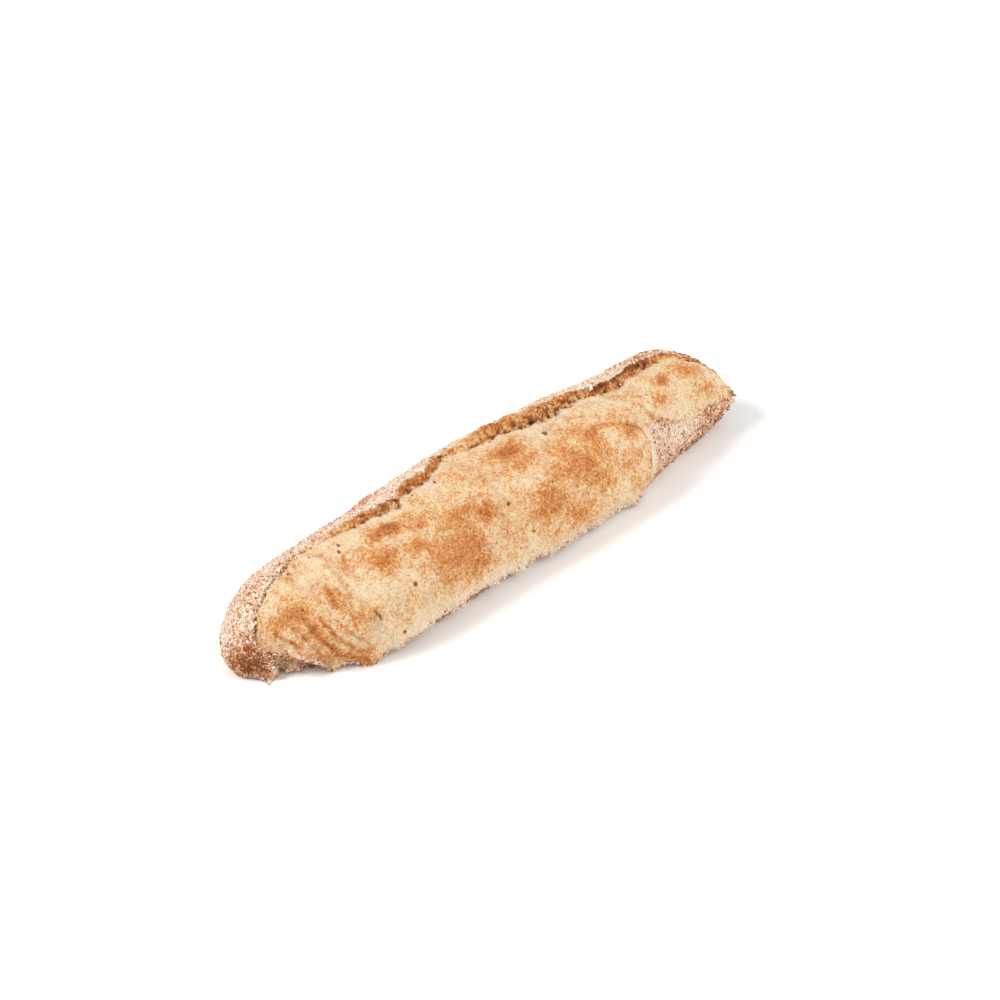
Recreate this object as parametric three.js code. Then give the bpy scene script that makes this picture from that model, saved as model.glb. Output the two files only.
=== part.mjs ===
import * as THREE from "three";

// A rustic baguette baked as one piece, lying on its flat underside.
// +X runs along the loaf to the tapered end, -Y is the burst front, +Z is up. Millimetres.

// Driving dimensions.
const loafLength = 400;
const bluntCapLength = 26;
const taperCapLength = 43;
const ringCount = 130;
const sideRoundness = 2.25;
const crownRoundness = 2.1;
const footRoundness = 2.6;
const widestHeightShare = 0.36;
const poleHeightShare = 0.42;
const footDepth = 9;
const bluntArcShare = 1.35;
const taperArcShare = 1.2;
const reliefSettle = 1.6;

// Shape along the loaf, as [x, value] stations measured from the middle of the length.
const frontHalfWidth = [
  [-200, 16], [-185, 18], [-165, 30], [-130, 46], [-90, 45], [-45, 45], [0, 48.5],
  [45, 48], [90, 45], [125, 39], [155, 35], [180, 33], [200, 34],
];
const backHalfWidth = [
  [-200, 18], [-185, 24], [-165, 34], [-130, 41.5], [-90, 44], [-45, 47.5], [0, 48.5],
  [45, 47.5], [90, 45], [125, 40], [155, 36], [180, 36], [200, 36],
];
const crownHeight = [
  [-200, 31], [-185, 38], [-165, 48], [-130, 56], [-90, 60.5], [-45, 63.5], [0, 64],
  [45, 63], [90, 61], [125, 58], [155, 55.5], [180, 55], [200, 50],
];
const middleLine = [
  [-200, 9], [-165, 5], [-90, -4.5], [0, 0], [100, 0], [135, 4], [165, 7], [185, 1], [200, -12],
];

// The ear: the torn step of crust along the top, by turn around the section
// (0 under the loaf, 0.25 front, 0.5 crown, 0.75 back).
const earTurn = [
  [-130, 0.54], [-112, 0.533], [-92, 0.524], [-76, 0.513], [-69, 0.508], [-62, 0.53], [-44, 0.525],
  [-22, 0.553], [-8, 0.54], [20, 0.53], [50, 0.513], [82, 0.517], [114, 0.5], [135, 0.507],
  [150, 0.51], [166, 0.498], [180, 0.465], [190, 0.45],
];
const earStrength = [
  [-140, 0], [-118, 0.3], [-104, 0.75], [-80, 0.75], [-71, 0.55], [-66, 0.1], [-60, 0.6], [-42, 1.05],
  [-28, 0.8], [-21, 0.35], [-12, 0.7], [5, 0.75], [20, 1.05], [55, 1.1], [75, 0.85], [100, 0.9],
  [130, 1.05], [146, 0.9], [156, 0.5], [178, 0.4], [192, 0],
];
const earLipHeight = 3.8;
const earFootDepth = 2;
const earWallTurns = 0.008;
const earFrontFade = 0.03;
const earBackFade = 0.055;

// The main burst face: where its blunt edge and its far rim lie, by turn.
const bluntEdge = [
  [0.18, -176], [0.27, -181], [0.34, -187], [0.41, -184], [0.48, -177], [0.515, -161],
  [0.54, -142], [0.575, -113],
];
const farRim = [[0.15, 94], [0.24, 100], [0.3, 104], [0.35, 103], [0.385, 96], [0.42, 82]];
const faceBottom = [0.14, 0.24];
const faceTop = [0.56, 0.6];
const burstSwell = 1.4;
const burstShoulder = 7;
const burstFade = 60;
const creaseDepth = 1.6;
const creaseWidth = 3.5;
const rimStep = 2.6;
const rimRun = 5;
const rimTurns = 0.022;
const rimBottom = [0.1, 0.2];
const rimTop = [0.37, 0.43];
const rimEasing = [125, 165];
const rimEasedShare = 0.6;
const rimEnd = [170, 195];

// The second burst face at the tapered end: the turn of its lower edge along X.
const secondBurstEdge = [[112, 0.42], [118, 0.36], [133, 0.318], [152, 0.282], [190, 0.265]];

// Columns of corners around one ring: their counts and, by turn, where they stand.
const frontColumns = 20;
const frontStart = 0.03;
const frontEndGap = 0.05;
const earOffsets = [-0.028, -0.012, 0, earWallTurns, 0.025, 0.05];
const backColumns = 12;
const backStartGap = 0.085;
const backEnd = 0.97;

// Smooth curve through [x, value] stations; the slope at each comes from its two neighbours.
function along(stations, x) {
  if (x <= stations[0][0]) {
    return stations[0][1];
  }
  for (let i = 1; i < stations.length; i += 1) {
    const [endX, endValue] = stations[i];
    if (x <= endX) {
      const [startX, startValue] = stations[i - 1];
      const before = stations[Math.max(i - 2, 0)];
      const after = stations[Math.min(i + 1, stations.length - 1)];
      const span = endX - startX;
      const startSlope = ((endValue - before[1]) / (endX - before[0])) * span;
      const endSlope = ((after[1] - startValue) / (after[0] - startX)) * span;
      const f = (x - startX) / span;
      const g = 1 - f;
      return (
        g * g * (1 + 2 * f) * startValue + f * f * (3 - 2 * f) * endValue +
        f * g * g * startSlope - f * f * g * endSlope
      );
    }
  }
  return stations[stations.length - 1][1];
}

const signedPower = (value, power) => Math.sign(value) * Math.abs(value) ** power;
const bell = (distance, width) => Math.exp(-((distance / width) ** 2));
const ramp = (value, from, to) => THREE.MathUtils.smoothstep(value, from, to);

// Height added to the plain skin by the ear: a dip at its foot, a short wall, a long fall behind.
function earRelief(x, turn) {
  const past = turn - along(earTurn, x);
  const strength = along(earStrength, x);
  if (past <= 0) {
    return -earFootDepth * strength * bell(past, earFrontFade);
  }
  const wall = Math.min(past / earWallTurns, 1);
  const fall = bell(Math.max(past - earWallTurns, 0), earBackFade);
  return strength * (wall * (earFootDepth + earLipHeight) * fall - earFootDepth * fall);
}

// Height added by the burst faces: a crease at the blunt edge, a step down at the far rim.
function burstRelief(x, turn) {
  const onFace = ramp(turn, ...faceBottom) * (1 - ramp(turn, ...faceTop));
  const inside = x - along(bluntEdge, turn);
  const shoulder = inside > 0 ? Math.exp(-inside / burstFade) - Math.exp(-inside / burstShoulder) : 0;
  const crease = creaseDepth * bell(inside, creaseWidth);
  const pastRim = ramp(x - along(farRim, turn), -rimRun, rimRun) * (1 - ramp(turn, ...rimTop));
  const underSecond = 1 - ramp(turn - along(secondBurstEdge, x), -rimTurns, rimTurns);
  const eased = (1 - rimEasedShare * ramp(x, ...rimEasing)) * (1 - ramp(x, ...rimEnd));
  const drop = rimStep * pastRim * underSecond * eased * ramp(turn, ...rimBottom);
  return onFace * (burstSwell * shoulder - crease) - drop;
}

// One skin point: a rounded section at x, scaled down towards the ends, pressed flat underneath.
function skinPoint(x, scale, turn) {
  const side = -Math.sin(2 * Math.PI * turn);
  const rise = -Math.cos(2 * Math.PI * turn);
  const halfWidth = along(side < 0 ? frontHalfWidth : backHalfWidth, x);
  const height = along(crownHeight, x);
  const widest = widestHeightShare * height;
  const pole = poleHeightShare * height;
  const relief = (earRelief(x, turn) + burstRelief(x, turn)) * Math.min(1, scale * reliefSettle);
  const y = halfWidth * signedPower(side, 2 / sideRoundness);
  const z = rise > 0
    ? widest + (height - widest) * rise ** (2 / crownRoundness)
    : widest - (widest + footDepth) * Math.abs(rise) ** (2 / footRoundness);
  return new THREE.Vector3(
    x,
    along(middleLine, x) + scale * y + relief * side,
    Math.max(pole + scale * (z - pole) + relief * rise, 0),
  );
}

// Ring places along the loaf: X and section scale, both quarter-ellipse in the end caps.
function ringPlace(share) {
  const bluntArc = bluntCapLength * bluntArcShare;
  const taperArc = taperCapLength * taperArcShare;
  const straight = loafLength - bluntCapLength - taperCapLength;
  const travel = share * (bluntArc + straight + taperArc);
  if (travel < bluntArc) {
    const angle = (Math.PI / 2) * (travel / bluntArc);
    return { x: -loafLength / 2 + bluntCapLength * (1 - Math.cos(angle)), scale: Math.sin(angle) };
  }
  if (travel < bluntArc + straight) {
    return { x: -loafLength / 2 + bluntCapLength + travel - bluntArc, scale: 1 };
  }
  const angle = (Math.PI / 2) * Math.min((travel - bluntArc - straight) / taperArc, 1);
  return {
    x: loafLength / 2 - taperCapLength + taperCapLength * Math.sin(angle),
    scale: Math.cos(angle),
  };
}

// Turns of the columns in the ring at x: even over the front and back, closer together at the ear.
function columnTurns(x) {
  const ear = along(earTurn, x);
  const frontSpan = ear - frontEndGap - frontStart;
  const backStart = ear + backStartGap;
  const turns = [];
  for (let i = 0; i < frontColumns; i += 1) {
    turns.push(frontStart + frontSpan * (i / (frontColumns - 1)));
  }
  for (const offset of earOffsets) {
    turns.push(ear + offset);
  }
  for (let i = 0; i < backColumns; i += 1) {
    turns.push(backStart + (backEnd - backStart) * (i / (backColumns - 1)));
  }
  return turns;
}

function buildSkin() {
  const columns = columnTurns(0).length;
  const corners = [];
  const faces = [];
  for (let ring = 1; ring < ringCount; ring += 1) {
    const { x, scale } = ringPlace(ring / ringCount);
    for (const turn of columnTurns(x)) {
      corners.push(skinPoint(x, scale, turn));
    }
  }
  const bluntTip = corners.length;
  corners.push(skinPoint(-loafLength / 2, 0, 0.5));
  const taperTip = corners.length;
  corners.push(skinPoint(loafLength / 2, 0, 0.5));
  for (let column = 0; column < columns; column += 1) {
    const next = (column + 1) % columns;
    faces.push(bluntTip, column, next);
    for (let ring = 0; ring < ringCount - 2; ring += 1) {
      const here = ring * columns;
      const there = here + columns;
      faces.push(here + column, there + column, there + next);
      faces.push(here + column, there + next, here + next);
    }
    const last = (ringCount - 2) * columns;
    faces.push(last + column, taperTip, last + next);
  }
  const skin = new THREE.BufferGeometry().setFromPoints(corners);
  skin.setIndex(faces);
  skin.computeBoundingBox();
  const box = skin.boundingBox;
  skin.translate(-(box.min.x + box.max.x) / 2, -(box.min.y + box.max.y) / 2, -box.min.z);
  skin.computeVertexNormals();
  return skin;
}

const crust = new THREE.MeshStandardMaterial({ color: 0xd9a866, roughness: 0.85, metalness: 0 });
const loaf = new THREE.Mesh(buildSkin(), crust);
loaf.name = "loaf";

const group = new THREE.Group();
group.name = "baguette";
group.add(loaf);

export default group;
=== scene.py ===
import math
from types import SimpleNamespace

import bpy
import numpy as np
from mathutils import Matrix, Vector


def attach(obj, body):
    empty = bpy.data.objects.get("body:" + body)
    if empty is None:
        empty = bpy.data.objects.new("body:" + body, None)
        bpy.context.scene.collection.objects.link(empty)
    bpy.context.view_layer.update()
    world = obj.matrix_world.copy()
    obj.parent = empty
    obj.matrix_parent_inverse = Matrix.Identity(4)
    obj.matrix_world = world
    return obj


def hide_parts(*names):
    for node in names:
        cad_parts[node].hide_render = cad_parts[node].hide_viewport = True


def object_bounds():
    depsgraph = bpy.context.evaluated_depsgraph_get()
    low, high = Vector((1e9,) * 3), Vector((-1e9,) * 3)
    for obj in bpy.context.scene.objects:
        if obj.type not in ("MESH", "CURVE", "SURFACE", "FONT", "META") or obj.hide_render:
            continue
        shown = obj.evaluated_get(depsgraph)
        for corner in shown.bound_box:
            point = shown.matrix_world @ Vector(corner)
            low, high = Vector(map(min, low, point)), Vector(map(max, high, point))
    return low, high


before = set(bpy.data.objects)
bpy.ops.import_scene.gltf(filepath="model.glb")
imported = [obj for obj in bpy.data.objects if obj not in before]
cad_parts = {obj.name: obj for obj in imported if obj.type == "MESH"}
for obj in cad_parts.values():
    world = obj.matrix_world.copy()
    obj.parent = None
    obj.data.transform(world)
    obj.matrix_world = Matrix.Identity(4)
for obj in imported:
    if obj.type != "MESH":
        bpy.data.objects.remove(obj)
cadLow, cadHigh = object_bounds()

mm = 0.001  # shapes are worked out in millimetres and put into the mesh in metres
chance = np.random.default_rng(20)  # every random draw comes from here, in one fixed order

# Where the viewer stands: angles in degrees round and above the loaf, and a small tilt of the picture.
viewer = {
    "round": -39.5,
    "above": 34.0,
    "tilt": -5.0,
    "distance": 1.43,
    "aim": (0.0035, -0.0069, 0.030),
    "lens": 82.62,
    "sensor": 36.0,
    "nearest": 0.05,
}


def standViewer(settings):
    # back = direction from the aim to the viewer; right and up are turned about it by the tilt
    turn, lift, tilt = (math.radians(settings[key]) for key in ("round", "above", "tilt"))
    back = Vector((math.sin(turn) * math.cos(lift), -math.cos(turn) * math.cos(lift), math.sin(lift)))
    level = (-back).cross(Vector((0, 0, 1))).normalized()
    rise = level.cross(-back)
    right = level * math.cos(tilt) + rise * math.sin(tilt)
    up = rise * math.cos(tilt) - level * math.sin(tilt)
    camera = bpy.data.cameras.new("viewer")
    camera.lens = settings["lens"]
    camera.sensor_width = settings["sensor"]
    camera.clip_start = settings["nearest"]
    holder = bpy.data.objects.new("viewer", camera)
    bpy.context.collection.objects.link(holder)
    place = Vector(settings["aim"]) + back * settings["distance"]
    turned = Matrix((right, up, back)).transposed().to_4x4()
    holder.matrix_world = Matrix.Translation(place) @ turned
    bpy.context.scene.camera = holder


standViewer(viewer)
print("viewer placed")


def ramp(value, low, high):
    # smooth step from 0 at low to 1 at high
    share = np.clip((value - low) / (high - low), 0.0, 1.0)
    return share * share * (3.0 - 2.0 * share)


def atLeast(least, share):
    # a share from 0 to 1 squeezed to run from least to 1
    return least + (1 - least) * share


def bell(distance, width):
    # e to the minus (distance / width) squared
    return np.exp(-(distance / width) ** 2)


def along(stations, x):
    # smooth curve through [x, value] stations, each slope taken from its two neighbours
    table = np.asarray(stations, float)
    stationX, value = table[:, 0], table[:, 1]
    count = len(stationX)
    start = np.clip(np.searchsorted(stationX, x, side="left") - 1, 0, count - 2)
    end = start + 1
    before = np.maximum(start - 1, 0)
    after = np.minimum(end + 1, count - 1)
    span = stationX[end] - stationX[start]
    share = np.clip((x - stationX[start]) / span, 0.0, 1.0)
    rest = 1.0 - share
    startSlope = (value[end] - value[before]) / (stationX[end] - stationX[before]) * span
    endSlope = (value[after] - value[start]) / (stationX[after] - stationX[start]) * span
    return (
        rest * rest * (1 + 2 * share) * value[start] + share * share * (3 - 2 * share) * value[end]
        + share * rest * rest * startSlope - share * share * rest * endSlope
    )


def signedPower(value, power):
    # the value's size to the power, with the value's sign
    return np.sign(value) * np.abs(value) ** power


# Large odd numbers that mix a cell's place into an even value.
mixers = {
    "axes": (73856093, 19349663, 83492791), "seed": 2654435,
    "rounds": ((13, 1274126177), (15, 668265263)),
}
wholeBits = 0x7FFFFFFF  # keeps the mixed number positive
keptBits = 0xFFFFF  # the low bits that make the share


def scatter(cell, seed):
    # one even value from 0 to 1 for each whole-number cell, by mixing its three numbers
    mixed = seed * mixers["seed"]
    for axis, mixer in enumerate(mixers["axes"]):
        mixed = mixed ^ (cell[..., axis] * mixer)
    for shift, mixer in mixers["rounds"]:
        mixed = (mixed ^ (mixed >> shift)) * mixer & wholeBits
    return (mixed & keptBits) / keptBits


def wave(points, size, seed):
    # value noise from -1 to 1: eight cell corners blended by a smooth fade
    scaled = points / size
    cell = np.floor(scaled).astype(np.int64)
    part = scaled - cell
    fade = part * part * part * (part * (part * 6.0 - 15.0) + 10.0)
    total = np.zeros(points.shape[:-1])
    for corner in range(8):
        step = np.array([corner & 1, corner >> 1 & 1, corner >> 2 & 1])
        weight = np.prod(np.where(step == 1, fade, 1.0 - fade), axis=-1)
        total += weight * scatter(cell + step, seed)
    return total * 2.0 - 1.0


def clouds(points, size, seed, halvings):
    # waves added up, each half the size and half the strength of the one before
    total = np.zeros(points.shape[:-1])
    for number in range(halvings):
        total += wave(points, size / 2 ** number, seed + 17 * number) / 2 ** number
    return total / (2.0 - 0.5 ** (halvings - 1))


def nearestSeed(points, size, seed):
    # distance in cells to the nearest of one jittered seed per cell, and that seed's own value
    scaled = points / size
    cell = np.floor(scaled).astype(np.int64)
    best = np.full(points.shape[:-1], 9.0)
    label = np.zeros(points.shape[:-1])
    for number in range(27):
        step = np.array([number % 3, number // 3 % 3, number // 9]) - 1
        there = cell + step
        spot = there + np.stack([scatter(there, seed + 5 * axis) for axis in range(3)], axis=-1)
        reach = np.linalg.norm(spot - scaled, axis=-1)
        closer = reach < best
        best = np.where(closer, reach, best)
        label = np.where(closer, scatter(there, seed + 31), label)
    return best, label


# Layers of noise, each [strength, size, seed, halvings]; sizes in millimetres.
noises = {
    "earWander": [[1.3, 14.0, 3, 4], [0.65, 2.2, 4, 1]],
    "lipHeight": [[0.45, 9.0, 81, 3]],
    "ragged": [[1.6, 7.0, 11, 3]],
    "secondEdge": [[3.0, 3.2, 83, 2]],
    "tornEdge": [[1.3, 5.0, 73, 3]],
    "overLip": [[0.4, 13.0, 105, 3]],
    "lumps": [[0.9, 46.0, 5, 2], [0.95, 17.0, 7, 2]],
    "dents": [[0.7, 12.0, 113, 2]],
    "faceGrain": [[1.1, 7.5, 13, 2], [0.85, 2.7, 15, 2]],
    "branGrain": [[0.6, 2.8, 19, 2], [0.4, 7.0, 23, 2]],
    "tornWall": [[0.63, 1.7, 29, 2], [0.45, 5.5, 31, 3], [0.72, 17.0, 33, 2]],
    "markBends": [[1.2, 9.0, 41, 2], [0.5, 3.0, 43, 2]],
    "markBreaks": [[1.0, 7.0, 101, 2]],
    "folds": [[1.0, 11.0, 45, 3]],
    "foldPlaces": [[1.0, 55.0, 97, 2]],
    "lipTeeth": [[1.7, 11.0, 61, 4], [1.0, 2.6, 63, 2]],
    "backWaves": [[2.0, 70.0, 89, 2], [1.1, 24.0, 91, 2]],
    "backFolds": [[1.0, 20.0, 93, 3]],
    "backFoldPlaces": [[1.0, 50.0, 95, 2]],
    "pitEdges": [[0.45, 2.2, 75, 2]],
    "creaseWidth": [[0.5, 3.0, 85, 1]],
    "creaseBreaks": [[1.0, 5.0, 65, 1]],
    "footBreaks": [[1.0, 11.0, 47, 3]],
    "speckles": [[1.0, 2.4, 67, 2]],
    "holes": [[1.0, 2.0, 71, 2], [0.3, 19.0, 77, 2]],
    "lipShade": [[1.0, 9.0, 79, 3]],
    "rimBreaks": [[1.0, 6.0, 69, 1]],
    "backToast": [[1.0, 60.0, 53, 3], [0.6, 11.0, 55, 3]],
    "soleEdge": [[0.03, 24.0, 107, 4]],
    "soleToast": [[0.75, 34.0, 109, 4]],
    "underLipEnd": [[9.0, 22.0, 111, 4]],
    "thinBran": [[1.0, 26.0, 57, 3]],
    "flakeTone": [[0.3, 24.0, 59, 3]],
    "branClumps": [[1.0, 8.0, 87, 3]],
    "crumbClumps": [[1.0, 9.0, 103, 3]],
    "shredClumps": [[1.0, 12.0, 99, 3]],
}

# Where things start and end: the first two numbers ease in, and two more ease out again.
spans = {
    # along the loaf, in millimetres from its middle
    "rimEasing": (125, 165), "rimGone": (170, 195),
    "earStart": (-150, -110), "wholeLip": (-186, -176, 92, 100), "undercut": (-184, -174, 88, 100),
    "undercutEased": (-120, -95), "lipFlour": (-130, -115, 92, 100), "underLip": (-135, -118, 92, 100),
    "lipCrumbs": (-182, -174, 92, 100), "paleLow": (-135, -110, 92, 104), "paleBlunt": (-165, -140),
    "dents": (-90, -40), "overLip": (-14, 6, 74, 92), "midFoot": (-5, 15, 75, 95), "holes": (30, 80),
    "lipShade": (72, 95), "liftMiddle": (-22, -8), "liftFar": (70, 96), "secondFace": (98, 102),
    "secondLip": (106, 114, 150, 185), "secondRim": (98, 104, 122, 135), "farPatch": (98, 108, 150, 190),
    "paleStrip": (105, 150), "bluntShreds": (-155, -130),
    # across the loaf, in millimetres
    "behind": (14, 16),
    # round the section, in turns
    "burstRise": (0.14, 0.24, 0.56, 0.6), "rimStepTop": (0.37, 0.425), "rimStepBottom": (0.1, 0.2),
    "front": (0.05, 0.08), "faceTop": (0.565, 0.6), "bluntSoft": (0.49, 0.53), "rimTop": (0.34, 0.36),
    "creaseTurns": (0.24, 0.3, 0.5, 0.535), "creaseDark": (0.36, 0.42), "rimLine": (0.1, 0.2, 0.4, 0.43),
    "rimToast": (0.15, 0.25, 0.4, 0.43), "rimFlour": (0.1, 0.2, 0.34, 0.38), "rimFlourWide": (0.22, 0.33),
    "farPatchTurns": (0.18, 0.25, 0.5, 0.54), "paleBluntTurns": (0.36, 0.5), "paleBackTurns": (0.54, 0.6),
    "back": (0.56, 0.64), "backToast": (0.56, 0.66), "sole": (0.08, 0.13, 0.8, 0.86), "notch": (0.04, 0.1),
    # up from the floor, in millimetres
    "onFloor": (0.2, 3.0), "lowSide": (6, 40), "underside": (0.3, 1.8), "paleBack": (34, 58),
    "lowFlakes": (4, 34), "high": (33, 35),
    # from an edge, in millimetres
    "earEdge": (-0.5, 0.5), "lowEdge": (-1.5, 1.5), "secondEdge": (-3, 3), "rimEnd": (5, 9),
    "tornWall": (-1.6, 0.2), "behindLip": (2.0, 4.0, 18, 40), "pastRim": (-1.5, 1.0), "underLipTop": (-1, 2),
    "underLipEnd": (5, 17), "undercutTop": (-0.5, 1.5, 9, 16), "flapTop": (-2, 0.5), "bluntPale": (-2, 0),
    "fromCrease": (2, 11), "liftFront": (-1.0, 2.6), "liftBack": (3.0, 6.0),
    # through a noise or another cover
    "earShows": (0.12, 0.4), "footShows": (0.1, 0.4), "blisters": (0.55, 0.8), "markBreaks": (-0.5, 0.3),
    "folds": (0.8, 1.0), "foldPlaces": (-0.25, 0.35), "backFolds": (0.86, 1.0), "backFoldPlaces": (-0.1, 0.4),
    "creaseBreaks": (-0.4, 0.4), "footBreaks": (0.0, 0.4), "speckles": (-0.15, 0.3), "holePlaces": (0.3, 0.5),
    "lipShadePlaces": (-0.4, 0.3), "rimBreaks": (-0.2, 0.5), "backToastPlaces": (0.05, 1.15),
    "thinBran": (-0.1, 0.7), "nibBurnt": (0.15, 0.5), "nibPale": (0.2, 0.5), "branClumps": (-0.35, 0.3),
    "crumbClumps": (-0.3, 0.3), "shredClumps": (-0.5, 0.4), "strayFree": (0.0, 0.05),
}


def noise(name, points):
    # the named layers of noise, added up
    return sum(
        strength * clouds(points, size, seed, halvings) for strength, size, seed, halvings in noises[name])


def gate(name, value):
    # smooth step up over the named span, and down again where it has four numbers
    span = spans[name]
    opened = ramp(value, span[0], span[1])
    return opened * (1 - ramp(value, span[2], span[3])) if len(span) == 4 else opened


# The section along the loaf, as [x, value] stations in millimetres. A turn is a place around the section:
# 0 underneath, 0.25 front, 0.5 crown, 0.75 back.
loafShape = {
    "length": (cadHigh.x - cadLow.x) / mm,
    "bluntCap": 26.0,
    "taperCap": 43.0,
    "bluntArcShare": 1.35,
    "taperArcShare": 1.2,
    "settle": 1.6,
    "rings": 520,
    "endCrowding": 0.25,
    "sideRoundness": 2.25,
    "crownRoundness": 2.1,
    "footRoundness": 2.6,
    "widestShare": 0.36,
    "poleShare": 0.42,
    "footDepth": 9.0,
    "girth": 250.0,
    # columns round the section: from, to and how many; -1 to 0 is the front, 1 to 2 the back
    "columns": [(-1.0, -0.12, 86), (-0.12, 0.0, 27), (0.0, 1.0, 14), (1.0, 1.12, 24), (1.12, 2.0, 40)],
    "frontHalfWidth": [
        [-200, 16], [-185, 18], [-165, 30], [-130, 46], [-90, 45], [-45, 45], [0, 48.5],
        [45, 48], [90, 45], [125, 39], [155, 35], [180, 33], [200, 34],
    ],
    "backHalfWidth": [
        [-200, 18], [-185, 24], [-165, 34], [-130, 41.5], [-90, 44], [-45, 47.5], [0, 48.5],
        [45, 47.5], [90, 45], [125, 40], [155, 36], [180, 36], [200, 36],
    ],
    "crownHeight": [
        [-200, 31], [-185, 38], [-165, 48], [-130, 56], [-90, 60.5], [-45, 63.5], [0, 64],
        [45, 63], [90, 61], [125, 58], [155, 55.5], [180, 55], [200, 50],
    ],
    "middleLine": [
        [-200, 9], [-165, 5], [-90, -4.5], [0, 0], [100, 0], [135, 4], [165, 7], [185, 1], [200, -12],
    ],
}

# The ear: a torn step of crust along the top, as [x, turn] and [x, strength] stations.
ear = {
    "turn": [
        [-130, 0.54], [-112, 0.533], [-92, 0.524], [-76, 0.513], [-69, 0.508], [-62, 0.53], [-44, 0.525],
        [-22, 0.553], [-8, 0.54], [20, 0.53], [50, 0.513], [82, 0.517], [114, 0.5], [135, 0.507],
        [150, 0.51], [166, 0.498], [180, 0.465], [190, 0.45],
    ],
    "strength": [
        [-140, 0], [-118, 0.3], [-104, 0.75], [-80, 0.75], [-71, 0.55], [-66, 0.1], [-60, 0.6], [-42, 1.05],
        [-28, 0.8], [-21, 0.35], [-12, 0.7], [5, 0.75], [20, 1.05], [55, 1.1], [75, 0.85], [100, 0.9],
        [130, 1.05], [146, 0.9], [156, 0.5], [178, 0.4], [192, 0],
    ],
    "lipHeight": 3.8,
    "footDepth": 2.0,
    "wallTurns": 0.008,
    "frontFade": 0.03,
    "backFade": 0.055,
}

# The burst faces: smooth dough that swelled out of the cut, with a crease and a rim around it.
# The blunt edge and the far rim are [turn, x] stations, the other edges [x, turn].
burst = {
    "bluntEdge": [
        [0.18, -176], [0.27, -181], [0.34, -187], [0.41, -184], [0.48, -177], [0.515, -161],
        [0.54, -142], [0.575, -113],
    ],
    "farRim": [[0.15, 94], [0.24, 100], [0.3, 104], [0.35, 103], [0.385, 96], [0.42, 82]],
    "secondEdge": [[112, 0.42], [118, 0.36], [133, 0.318], [152, 0.282], [190, 0.265]],
    "lowerEdge": [
        [-186, 0.27], [-177, 0.262], [-170, 0.243], [-160, 0.2], [-153, 0.168], [-145, 0.175], [-138, 0.16],
        [-125, 0.175], [-90, 0.198], [-40, 0.192], [0, 0.18], [40, 0.172], [95, 0.165],
    ],
    # flaps of the lower lip: [x, turn, half length, height]
    "flaps": [
        [-133, 0.165, 7, 3.6], [-152, 0.17, 5, 1.8], [-116, 0.19, 4, 2.0], [-98, 0.2, 7, 2.2],
        [-16, 0.185, 4, 2.4], [8, 0.18, 4, 2.2], [-40, 0.19, 5, 1.2], [-72, 0.2, 3, 1.5],
        [38, 0.175, 4, 1.4], [84, 0.17, 5, 1.6],
    ],
    # dips in the lower front: [x, turn, half length, half girth, depth]
    "notch": [-176.5, 0.16, 2.4, 17.0, 9.0],
    "hollow": [-166, 0.14, 9.0, 15.0, 4.5],
    "swell": 1.4,
    "shoulder": 7.0,
    "fade": 60.0,
    "creaseDepth": 2.2,
    "creaseWidth": 1.6,
    "rimStep": 2.6,
    "rimRun": 2.2,
    "rimTurns": 0.009,
    "rimEasedShare": 0.6,
    "lipSwell": 1.5,
    "undercut": 3.0,
}


def earRelief(x, turn, wander):
    # dip before the ear's foot, steep wall, then a long fall behind the lip
    past = turn - along(ear["turn"], x) - wander
    strength = along(ear["strength"], x)
    wall = np.clip(past / ear["wallTurns"], 0.0, 1.0)
    fall = bell(np.maximum(past - ear["wallTurns"], 0.0), ear["backFade"])
    before = -ear["footDepth"] * strength * bell(past, ear["frontFade"])
    behind = strength * (wall * (ear["footDepth"] + ear["lipHeight"]) * fall - ear["footDepth"] * fall)
    return np.where(past <= 0, before, behind)


def burstRelief(x, turn):
    # crease and swell inside the blunt edge; step down past the far rim, below the second face
    inside = x - along(burst["bluntEdge"], turn)
    into = np.maximum(inside, 0)
    shoulder = np.exp(-into / burst["fade"]) - np.exp(-into / burst["shoulder"])
    crease = burst["creaseDepth"] * bell(inside, burst["creaseWidth"])
    pastRim = ramp(x - along(burst["farRim"], turn), -burst["rimRun"], burst["rimRun"])
    pastRim = pastRim * (1 - gate("rimStepTop", turn))
    second = turn - along(burst["secondEdge"], x)
    underSecond = 1 - ramp(second, -burst["rimTurns"], burst["rimTurns"])
    eased = (1 - burst["rimEasedShare"] * gate("rimEasing", x)) * (1 - gate("rimGone", x))
    drop = burst["rimStep"] * pastRim * underSecond * eased * gate("rimStepBottom", turn)
    return gate("burstRise", turn) * (burst["swell"] * shoulder - crease) - drop


def skinPoints(x, scale, turn, relief):
    # rounded section at x: side and height powers of sine and cosine, shrunk to the pole by scale
    side = -np.sin(2 * np.pi * turn)
    rise = -np.cos(2 * np.pi * turn)
    frontHalf, backHalf = along(loafShape["frontHalfWidth"], x), along(loafShape["backHalfWidth"], x)
    halfWidth = np.where(side < 0, frontHalf, backHalf)
    height = along(loafShape["crownHeight"], x)
    widest = loafShape["widestShare"] * height
    pole = loafShape["poleShare"] * height
    y = halfWidth * signedPower(side, 2 / loafShape["sideRoundness"])
    above = widest + (height - widest) * np.abs(rise) ** (2 / loafShape["crownRoundness"])
    below = widest - (widest + loafShape["footDepth"]) * np.abs(rise) ** (2 / loafShape["footRoundness"])
    z = np.where(rise > 0, above, below)
    return np.stack([
        x,
        along(loafShape["middleLine"], x) + scale * y + relief * side,
        np.maximum(pole + scale * (z - pole) + relief * rise, 0.0),
    ], axis=-1)


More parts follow.
